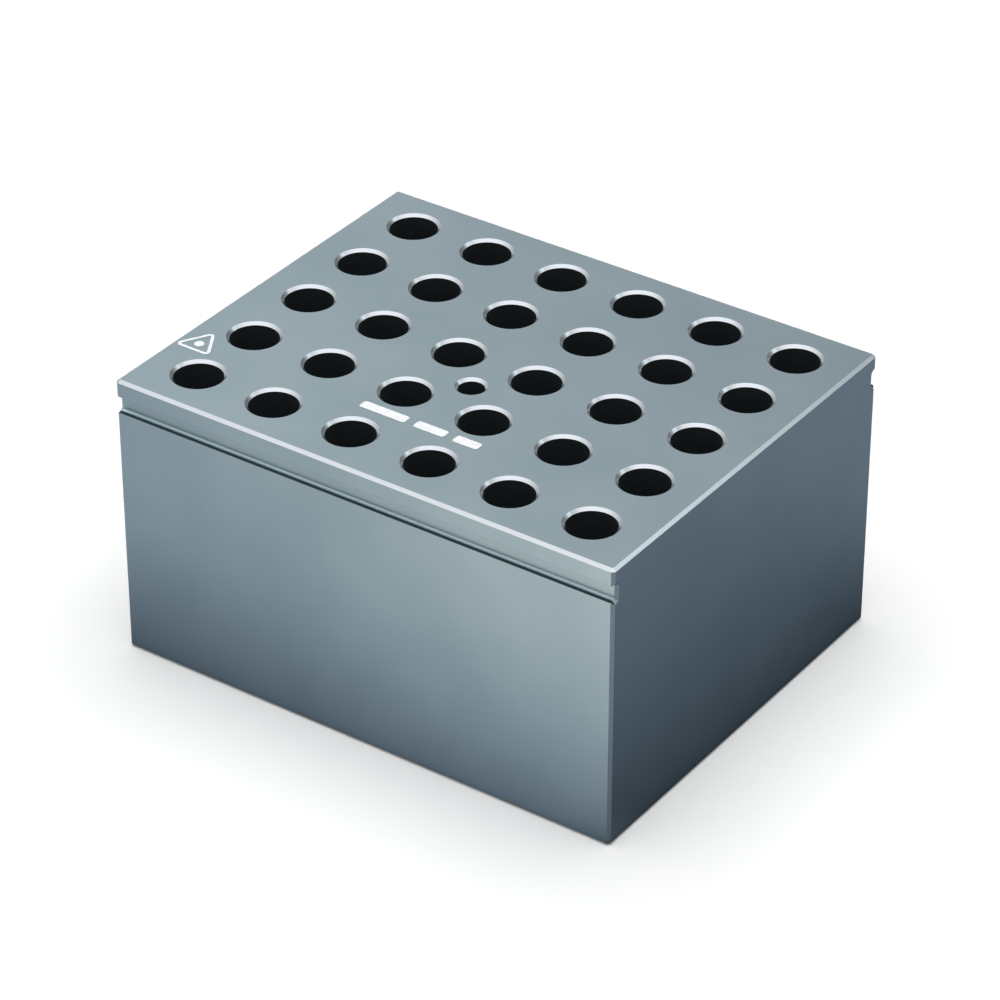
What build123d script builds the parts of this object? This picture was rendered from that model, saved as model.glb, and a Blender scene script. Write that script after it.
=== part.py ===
from build123d import *
from math import radians, tan
import os

# Tube block of a dry block heater: one machined aluminium block with thirty
# tapered pockets for 0.5 ml tubes, a probe pocket and two lifting grooves,
# and the white print on its top face.
#
# Millimetres, +Z up. The origin is the centre of the base. +X runs along the
# long side, and the two long faces (-Y front, +Y back) carry the grooves.

os.makedirs("parts", exist_ok=True)

# ---- block ----
block_length = 95.0          # X
block_width = 76.0           # Y
block_height = 51.3          # Z
edge_chamfer = 0.5           # outer edges and pocket rims

# ---- lifting grooves, along both long faces and open at both ends ----
lip_height = 3.1             # full-width rim above the groove
groove_height = 2.8
groove_depth = 1.0
groove_root_radius = 0.35    # inner corners
groove_edge_break = 0.12     # outer edges, above and below the groove

# ---- tube pockets ----
columns = 6                  # along X
rows = 5                     # along Y
column_pitch = 15.05
row_pitch = 14.57
tube_diameter = 8.2
tube_straight_depth = 13.0   # top face to the start of the taper
tube_tip_diameter = 4.4      # ball-ended tip of the taper
tube_depth = 28.0            # top face to the lowest point

# ---- probe pocket, in the gap between four tube pockets ----
probe_diameter = 4.4
probe_depth = 35.0           # top face to the shoulder of the drill point
drill_point_angle = 118.0    # degrees, tip to tip

# ---- white print on the top face ----
ink_thickness = 0.05
sign_side = 7.4              # triangle side before its corners are rounded
sign_corner_radius = 0.8
sign_stroke = 0.55
sign_dot_diameter = 1.7
sign_x = -43.3
sign_base_y = -23.85
bar_height = 1.9
bar_corner_radius = 0.5
bar_gap = 1.65
bar_lengths = {"left": 8.75, "middle": 5.85, "right": 4.7}
bars_start_x = -11.05
bar_y = -21.4

# ---- heights and faces worked out from the dimensions above ----
half_length = block_length / 2
half_width = block_width / 2
groove_top_z = block_height - lip_height
ledge_z = groove_top_z - groove_height
groove_floor_y = half_width - groove_depth
tube_radius = tube_diameter / 2
tip_radius = tube_tip_diameter / 2
taper_start_z = block_height - tube_straight_depth
tip_centre_z = block_height - tube_depth + tip_radius
probe_radius = probe_diameter / 2
probe_shoulder_z = block_height - probe_depth
probe_tip_z = probe_shoulder_z - probe_radius / tan(radians(drill_point_angle / 2))
probe_y = -row_pitch / 2


def long_edges(part, y, z):
    """Edges along X at height z, on both sides of the part, the distance y from its middle."""
    near = 0.02
    along_x = part.edges().filter_by(Axis.X)
    at_depth = along_x.filter_by(lambda e: abs(abs(e.center().Y) - y) < near)
    return at_depth.filter_by(lambda e: abs(e.center().Z - z) < near)


# ---- cutter for one tube pocket: straight bore, taper, ball-ended tip ----
with BuildPart() as tube_cutter:
    with BuildSketch(Plane.XZ) as tube_profile:
        with BuildLine():
            Polyline(
                (0, block_height - tube_depth),
                (0, block_height),
                (tube_radius, block_height),
                (tube_radius, taper_start_z),
                (tip_radius, tip_centre_z),
            )
            CenterArc((0, tip_centre_z), tip_radius, -90, 90)
        make_face()
    revolve(axis=Axis.Z)

# ---- cutter for the probe pocket: drilled hole with its drill point ----
with BuildPart() as probe_cutter:
    with BuildSketch(Plane.XZ) as probe_profile:
        with BuildLine():
            Polyline(
                (0, probe_tip_z),
                (0, block_height),
                (probe_radius, block_height),
                (probe_radius, probe_shoulder_z),
                close=True,
            )
        make_face()
    revolve(axis=Axis.Z)

# ---- block: milled body, grooves, chamfered edges, then the pockets ----
with BuildPart() as block:
    with BuildSketch(Plane.YZ.offset(-half_length)) as cross_section:
        with Locations((0, block_height / 2)):
            Rectangle(block_width, block_height)
        groove_middle_z = (groove_top_z + ledge_z) / 2
        with Locations((-half_width, groove_middle_z), (half_width, groove_middle_z)):
            Rectangle(2 * groove_depth, groove_height, mode=Mode.SUBTRACT)
    extrude(amount=block_length)

    groove_roots = long_edges(block, groove_floor_y, groove_top_z)
    groove_roots += long_edges(block, groove_floor_y, ledge_z)
    fillet(groove_roots, groove_root_radius)

    # the upright corners, then the rim of the top face and of the base
    chamfer(block.edges().filter_by(Axis.Z), edge_chamfer)
    chamfer(block.faces().sort_by(Axis.Z)[-1].edges(), edge_chamfer)
    chamfer(block.faces().sort_by(Axis.Z)[0].edges(), edge_chamfer)
    chamfer(long_edges(block, half_width, groove_top_z), groove_edge_break)
    chamfer(long_edges(block, half_width, ledge_z), groove_edge_break)

    with GridLocations(column_pitch, row_pitch, columns, rows):
        add(tube_cutter.part, mode=Mode.SUBTRACT)
    with Locations((0, probe_y)):
        add(probe_cutter.part, mode=Mode.SUBTRACT)

    top_face = block.faces().sort_by(Axis.Z)[-1]
    pocket_rims = top_face.edges().filter_by(lambda e: e.is_closed)
    chamfer(pocket_rims, edge_chamfer)

block.part.label = "block"
export_step(block.part, "parts/block.step")

# ---- printed sign: rounded triangle outline with a plain dot ----
with BuildPart() as print_sign:
    with BuildSketch(Plane.XY.offset(block_height)) as sign_sketch:
        sign_centre_y = sign_base_y + sign_side * 3**0.5 / 6
        with Locations((sign_x, sign_centre_y)):
            RegularPolygon(sign_side / 3**0.5, 3, rotation=90)
        fillet(sign_sketch.vertices(), sign_corner_radius)
        offset(amount=-sign_stroke, mode=Mode.SUBTRACT)
        with Locations((sign_x, sign_centre_y)):
            Circle(sign_dot_diameter / 2)
    extrude(amount=ink_thickness)

print_sign.part.label = "print_sign"
export_step(print_sign.part, "parts/print_sign.step")

# ---- printed bars: three plain rounded bars in one line along X ----
bar_start_x = bars_start_x
for bar_name, bar_length in bar_lengths.items():
    with BuildPart() as print_bar:
        with BuildSketch(Plane.XY.offset(block_height)) as bar_sketch:
            with Locations((bar_start_x + bar_length / 2, bar_y)):
                RectangleRounded(bar_length, bar_height, bar_corner_radius)
        extrude(amount=ink_thickness)
    print_bar.part.label = f"print_bar_{bar_name}"
    export_step(print_bar.part, f"parts/print_bar_{bar_name}.step")
    bar_start_x += bar_length + bar_gap
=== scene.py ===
import math
import bpy
from mathutils import Matrix, Vector


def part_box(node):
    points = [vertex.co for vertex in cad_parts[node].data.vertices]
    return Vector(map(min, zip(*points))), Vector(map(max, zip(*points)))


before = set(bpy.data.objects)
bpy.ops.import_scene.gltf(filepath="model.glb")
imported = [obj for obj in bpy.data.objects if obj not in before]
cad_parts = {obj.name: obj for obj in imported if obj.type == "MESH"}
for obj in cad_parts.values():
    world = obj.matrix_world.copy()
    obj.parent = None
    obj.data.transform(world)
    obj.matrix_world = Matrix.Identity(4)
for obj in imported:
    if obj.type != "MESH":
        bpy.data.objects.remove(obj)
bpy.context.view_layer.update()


# ---------------------------------------------------------------------------
# Block: one piece of aluminium, milled square, with thirty tapered tube pockets
# and a probe pocket drilled from above and a lifting groove milled along each
# long side. The edges are chamfered after fine blasting, and all is anodised.
# ---------------------------------------------------------------------------
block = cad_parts["block"]
block_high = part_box("block")[1]
chamfer = 0.0005                    # outer edges and pocket mouths
lip_height = 0.0031                 # above the grooves
groove_height = 0.0028
groove_depth = 0.001
ledge_z = block_high.z - lip_height - groove_height
oxide_grey = (0.445, 0.560, 0.605, 1.0)
oxide_pale = (0.485, 0.600, 0.640, 1.0)
# painted highlight: pale base colour for the chamfers round the top face and the pocket mouths
edge_painted_highlight = (0.82, 0.86, 0.895, 1.0)
# painted highlight along the rounded root of each groove
root_painted_highlight = (0.545, 0.675, 0.715, 1.0)
# painted shade: near-black walls down the pockets
pocket_painted_shade = (0.014, 0.019, 0.021, 1.0)
# painted shade on the step below each groove
ledge_painted_shade = (0.045, 0.058, 0.064, 1.0)
satin_low, satin_high = 0.33, 0.41  # roughness of the blasted and anodised faces
edge_polish = 0.07                  # how much smoother the cut edges are
pocket_rough = 0.6
cloud_scale = 55.0                  # mottling of the oxide
grain_scale = 5200.0                # blasted grain
grain_height = 0.00002
# share of the painted edge highlight given to the upright corners
corner_painted_highlight = 0.22


def adder(tree):
    """A function that adds one shader node to the tree and sets or links its inputs."""
    def add(kind, settings=None, **inputs):
        node = tree.nodes.new("ShaderNode" + kind)
        for key, value in (settings or {}).items():
            setattr(node, key, value)
        for key, value in inputs.items():
            socket = node.inputs[int(key[1:])] if key[1:].isdigit() else node.inputs[key]
            if isinstance(value, bpy.types.NodeSocket):
                tree.links.new(value, socket)
            else:
                socket.default_value = value
        return node

    return add


def calculator(add):
    """A function that adds one Math node and gives its result."""
    def calc(operation, a, b=0.0):
        return add("Math", {"operation": operation}, i0=a, i1=b).outputs[0]

    return calc


def new_finish(name):
    """A material with a Principled shader, and the adder of its nodes."""
    material = bpy.data.materials.new(name)
    material.use_nodes = True
    tree = material.node_tree
    return material, tree, tree.nodes["Principled BSDF"], adder(tree)


def anodised_aluminium():
    """Satin cool-grey oxide over blasted metal, with painted highlights on the edges and painted shade in the
    hollows.
    """
    material, tree, shader, add = new_finish("anodised_aluminium")
    calc = calculator(add)

    place = add("TexCoord").outputs["Object"]
    axes = add("SeparateXYZ", Vector=place).outputs
    facing = add("SeparateXYZ", Vector=add("NewGeometry").outputs["True Normal"]).outputs

    # walls of the pockets: inside the block's outline, below the chamfered mouths; painted shade, a near-black
    # non-metal base colour
    across = calc("ABSOLUTE", axes["X"])
    along = calc("ABSOLUTE", axes["Y"])
    inside_x = calc("LESS_THAN", across, block_high.x - 2 * groove_depth)
    inside_y = calc("LESS_THAN", along, block_high.y - 2 * groove_depth)
    below = calc("LESS_THAN", axes["Z"], block_high.z - chamfer * 0.98)
    above = calc("GREATER_THAN", axes["Z"], 2 * chamfer)
    pocket = calc("MULTIPLY", calc("MULTIPLY", inside_x, inside_y), calc("MULTIPLY", below, above))

    # chamfers round the top face and the pocket mouths, then those of the upright corners: a pale base colour
    # on them is a painted highlight
    at_top = calc("GREATER_THAN", axes["Z"], block_high.z - 2 * chamfer)
    tilted = calc("MULTIPLY", calc("GREATER_THAN", facing["Z"], 0.25), calc("LESS_THAN", facing["Z"], 0.95))
    rim = calc("MULTIPLY", at_top, tilted)
    corner = calc("GREATER_THAN", calc("ABSOLUTE", calc("MULTIPLY", facing["X"], facing["Y"])), 0.4)

    # step below each groove, with its chamfered outer edge and ends: painted shade, a dark base colour
    over = calc("GREATER_THAN", axes["Z"], ledge_z - 1.1 * chamfer)
    under = calc("LESS_THAN", axes["Z"], ledge_z + 0.1 * chamfer)
    outside = calc("GREATER_THAN", along, block_high.y - 0.57 * groove_depth)
    level = calc("GREATER_THAN", facing["Z"], 0.6)
    ledge = calc("MULTIPLY", calc("MULTIPLY", over, under), calc("MULTIPLY", outside, level))

    # rounded root behind the step and the foot of the groove's wall, fading upwards: a painted highlight, a
    # paler base colour
    inner = calc("MULTIPLY", over, calc("SUBTRACT", 1.0, outside))
    outward = calc("GREATER_THAN", calc("ADD", calc("ABSOLUTE", facing["Y"]), facing["Z"]), 0.8)
    fade_start = ledge_z + 0.6 * chamfer
    fade_end = ledge_z + 2.2 * chamfer
    fade = add("MapRange", Value=axes["Z"], i1=fade_start, i2=fade_end, i3=1.0, i4=0.0).outputs[0]
    root = calc("MULTIPLY", calc("MULTIPLY", inner, outward), fade)

    def mix(factor, a, b):
        return add("Mix", {"data_type": "RGBA"}, i0=factor, i6=a, i7=b).outputs[2]

    clouds = add("TexNoise", Vector=place, Scale=cloud_scale, Detail=3.0, Roughness=0.5).outputs["Fac"]
    tone = add("MapRange", Value=clouds, i1=0.35, i2=0.65).outputs[0]
    colour = mix(tone, oxide_grey, oxide_pale)
    colour = mix(calc("MULTIPLY", corner, corner_painted_highlight), colour, edge_painted_highlight)
    colour = mix(root, colour, root_painted_highlight)
    colour = mix(rim, colour, edge_painted_highlight)
    colour = mix(ledge, colour, ledge_painted_shade)
    colour = mix(pocket, colour, pocket_painted_shade)
    tree.links.new(colour, shader.inputs["Base Color"])
    tree.links.new(calc("SUBTRACT", 1.0, pocket), shader.inputs["Metallic"])

    grain = add("TexNoise", Vector=place, Scale=grain_scale, Detail=2.0).outputs["Fac"]
    rough = add("MapRange", Value=grain, i3=satin_low, i4=satin_high).outputs[0]
    rough = calc("SUBTRACT", rough, calc("MULTIPLY", rim, edge_polish))
    rough = calc("MAXIMUM", rough, calc("MULTIPLY", pocket, pocket_rough))
    tree.links.new(rough, shader.inputs["Roughness"])
    bump = add("Bump", Strength=0.12, Distance=grain_height, Height=grain)
    tree.links.new(bump.outputs[0], shader.inputs["Normal"])
    return material


block.data.materials.clear()
block.data.materials.append(anodised_aluminium())
for face in block.data.polygons:
    face.material_index = 0


# ---------------------------------------------------------------------------
# Print: the sign and the three bars on the top face, one thin layer of white
# two-part ink laid through a screen and baked onto the oxide.
# ---------------------------------------------------------------------------
ink_white = (0.70, 0.71, 0.73, 1.0)
ink_thin = (0.59, 0.615, 0.635, 1.0)
mesh_scale = 1400.0                 # print of the screen's mesh
mesh_height = 0.00001


def screen_ink():
    """Matt white ink with slightly uneven cover and a fine mesh texture."""
    material, tree, shader, add = new_finish("white_ink")
    place = add("TexCoord").outputs["Object"]
    cover = add("TexNoise", Vector=place, Scale=mesh_scale, Detail=4.0).outputs["Fac"]
    tone = add("MapRange", Value=cover, i1=0.3, i2=0.6).outputs[0]
    colour = add("Mix", {"data_type": "RGBA"}, i0=tone, i6=ink_thin, i7=ink_white).outputs[2]
    tree.links.new(colour, shader.inputs["Base Color"])
    bump = add("Bump", Strength=0.2, Distance=mesh_height, Height=cover)
    tree.links.new(bump.outputs[0], shader.inputs["Normal"])
    shader.inputs["Roughness"].default_value = 0.55
    return material


white_ink = screen_ink()
for name in ("print_sign", "print_bar_left", "print_bar_middle", "print_bar_right"):
    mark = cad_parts[name]
    mark.data.materials.clear()
    mark.data.materials.append(white_ink)


# ---------------------------------------------------------------------------
# Stage: a plain white floor, and a sheet that only the metal's reflections see,
# dark beside the block and paler further out, most of all to the front.
# ---------------------------------------------------------------------------
sheet_half_size = 8.0
floor_z = -0.00002                  # just under the base
card_z = -0.00001
floor_grey = (0.60, 0.60, 0.60, 1.0)
floor_glow = 0.17                   # keeps the shadow pale
front_left_glow, front_right_glow = 0.45, 1.203
side_front_glow, side_back_glow = 0.203, 0.284
shade_cool = (0.84, 1.0, 1.25, 1.0)
shade_warm = (1.02, 1.0, 0.96, 1.0)


def flat_sheet(name, half_size, height):
    mesh = bpy.data.meshes.new(name)
    corners = [(-half_size, -half_size, height), (half_size, -half_size, height),
               (half_size, half_size, height), (-half_size, half_size, height)]
    mesh.from_pydata(corners, [], [(0, 1, 2, 3)])
    sheet = bpy.data.objects.new(name, mesh)
    bpy.context.scene.collection.objects.link(sheet)
    return sheet


floor = flat_sheet("floor", sheet_half_size, floor_z)
floor_paint, _, shader, _ = new_finish("floor_white")
shader.inputs["Base Color"].default_value = floor_grey
shader.inputs["Roughness"].default_value = 0.9
shader.inputs["Specular IOR Level"].default_value = 0.0
shader.inputs["Emission Color"].default_value = (1.0, 1.0, 1.0, 1.0)
shader.inputs["Emission Strength"].default_value = floor_glow
floor.data.materials.append(floor_paint)
floor.visible_glossy = False


def blend(add, value, start, end, low, high):
    """Even change from low at start to high at end."""
    return add("MapRange", Value=value, i1=start, i2=end, i3=low, i4=high).outputs[0]


def ramp(add, value, start, end, low, high):
    """Smooth step from low at start to high at end."""
    settings = {"interpolation_type": "SMOOTHSTEP"}
    return add("MapRange", settings, Value=value, i1=start, i2=end, i3=low, i4=high).outputs[0]


def reflection_sheet():
    """Emission by place: each side's own brightness, faded to nothing beside the block."""
    paint = bpy.data.materials.new("reflection_sheet")
    paint.use_nodes = True
    paint.node_tree.nodes.clear()
    add = adder(paint.node_tree)
    calc = calculator(add)

    axes = add("SeparateXYZ", Vector=add("NewGeometry").outputs["Position"]).outputs
    out_x = calc("MAXIMUM", calc("SUBTRACT", calc("ABSOLUTE", axes["X"]), block_high.x), 0.0)
    out_y = calc("MAXIMUM", calc("SUBTRACT", calc("ABSOLUTE", axes["Y"]), block_high.y), 0.0)
    away = add("CombineXYZ", X=out_x, Y=out_y).outputs[0]
    away = add("VectorMath", {"operation": "LENGTH"}, i0=away).outputs["Value"]

    front = blend(add, axes["X"], -0.12, 0.06, front_left_glow, front_right_glow)
    front = calc("MULTIPLY", front, ramp(add, away, -0.031, 0.085, 0.0, 1.0))
    side = blend(add, axes["Y"], -0.05, 0.12, side_front_glow, side_back_glow)
    side = calc("MULTIPLY", side, ramp(add, away, -0.027, 0.057, 0.0, 1.0))
    side = calc("MULTIPLY", side, ramp(add, away, 0.15, 0.50, 1.0, 0.12))
    toward_front = calc("SUBTRACT", calc("MULTIPLY", axes["Y"], -1.0), calc("MULTIPLY", axes["X"], 1.2))
    share = ramp(add, toward_front, -0.035, 0.0, 0.0, 1.0)
    glow = calc("ADD", calc("MULTIPLY", front, share), calc("MULTIPLY", side, calc("SUBTRACT", 1.0, share)))
    glow = calc("MULTIPLY", glow, ramp(add, away, 0.0, 0.001, 0.0, 1.0))

    tint = blend(add, glow, 0.05, 0.8, 0.0, 1.0)
    colour = add("Mix", {"data_type": "RGBA"}, i0=tint, i6=shade_cool, i7=shade_warm)
    emit = add("Emission", Color=colour.outputs[2], Strength=glow)
    add("OutputMaterial", Surface=emit.outputs[0])
    return paint


card = flat_sheet("reflection_card", sheet_half_size, card_z)
card.visible_camera = False
card.visible_diffuse = False
card.visible_shadow = False
card.visible_transmission = False
card.data.materials.append(reflection_sheet())


# ---------------------------------------------------------------------------
# Light: soft surroundings, brighter high up and to the front left, a pale patch
# front right, a strip light back right and a broad one overhead for floor and ink.
# ---------------------------------------------------------------------------
wash_low, wash_high = 0.205, 0.765  # surroundings, away from and towards the front left
high_glow = 1.04                    # well above the block
patch_direction = (0.60, -0.50, 0.62)
strip_width, strip_length = 0.245, 0.50
strip_watts = 0.44
strip_tint = (0.87, 1.0, 1.04)
overhead_watts = 4.5
overhead_spread = math.radians(60.0)


def studio_world():
    world = bpy.data.worlds.new("studio")
    world.use_nodes = True
    world.node_tree.nodes.clear()
    add = adder(world.node_tree)
    calc = calculator(add)

    def toward(direction):
        return add("VectorMath", {"operation": "DOT_PRODUCT"}, i0=look, i1=direction).outputs["Value"]

    look = add("TexCoord").outputs["Generated"]
    height = add("SeparateXYZ", Vector=look).outputs["Z"]
    front_left = toward((-0.82, -0.57, 0.0))
    wash = blend(add, front_left, -0.14, 0.119, wash_low, wash_high)
    wash = calc("MULTIPLY", wash, ramp(add, height, -0.348, 0.645, 0.0, 1.0))
    high = ramp(add, height, 0.58, 0.74, 0.0, 1.0)
    total = calc("ADD", calc("MULTIPLY", wash, calc("SUBTRACT", 1.0, high)), calc("MULTIPLY", high, high_glow))
    total = calc("MAXIMUM", total, ramp(add, toward(patch_direction), 0.85, 0.97, 0.0, 1.0))
    sky = add("Background", Color=(0.99, 1.0, 1.02, 1.0), Strength=total)
    add("OutputWorld", Surface=sky.outputs[0])
    return world


bpy.context.scene.world = studio_world()
bpy.context.scene.world.cycles_visibility.diffuse = False

overhead_data = bpy.data.lights.new("overhead", "SUN")
overhead_data.energy = overhead_watts
overhead_data.angle = overhead_spread
overhead = bpy.data.objects.new("overhead", overhead_data)
overhead.visible_glossy = False
bpy.context.scene.collection.objects.link(overhead)

strip_data = bpy.data.lights.new("back_right_strip", "AREA")
strip_data.shape = "RECTANGLE"
strip_data.size = strip_width
strip_data.size_y = strip_length
strip_data.energy = strip_watts
strip_data.color = strip_tint
strip = bpy.data.objects.new("back_right_strip", strip_data)
outward = Vector((0.601, 0.632, 0.488)).normalized()
wide = Vector((0.627, 0.004, -0.777)).cross(outward).normalized()
tall = outward.cross(wide)
strip_place = Vector((block_high.x, 0.0, block_high.z)) + outward
strip.matrix_world = Matrix.Translation(strip_place) @ Matrix((wide, tall, outward)).transposed().to_4x4()
strip.visible_camera = False
strip.visible_diffuse = False
bpy.context.scene.collection.objects.link(strip)

bpy.context.scene.view_settings.view_transform = "Standard"
bpy.context.scene.view_settings.look = "None"


# ---------------------------------------------------------------------------
# Camera: a long lens a little above the block, looking at its front corner.
# ---------------------------------------------------------------------------
camera_data = bpy.data.cameras.new("camera")
camera_data.lens = 154.47
camera_data.sensor_width = 36.0
camera_data.clip_start = 0.01
camera = bpy.data.objects.new("camera", camera_data)
bpy.context.scene.collection.objects.link(camera)
camera_place = Vector((0.33521, -0.47925, 0.40511))
camera_aim = Vector((-0.480526, 0.687883, -0.543978))
camera_turn = camera_aim.to_track_quat("-Z", "Y").to_matrix().to_4x4()
camera.matrix_world = Matrix.Translation(camera_place) @ camera_turn
bpy.context.scene.camera = camera
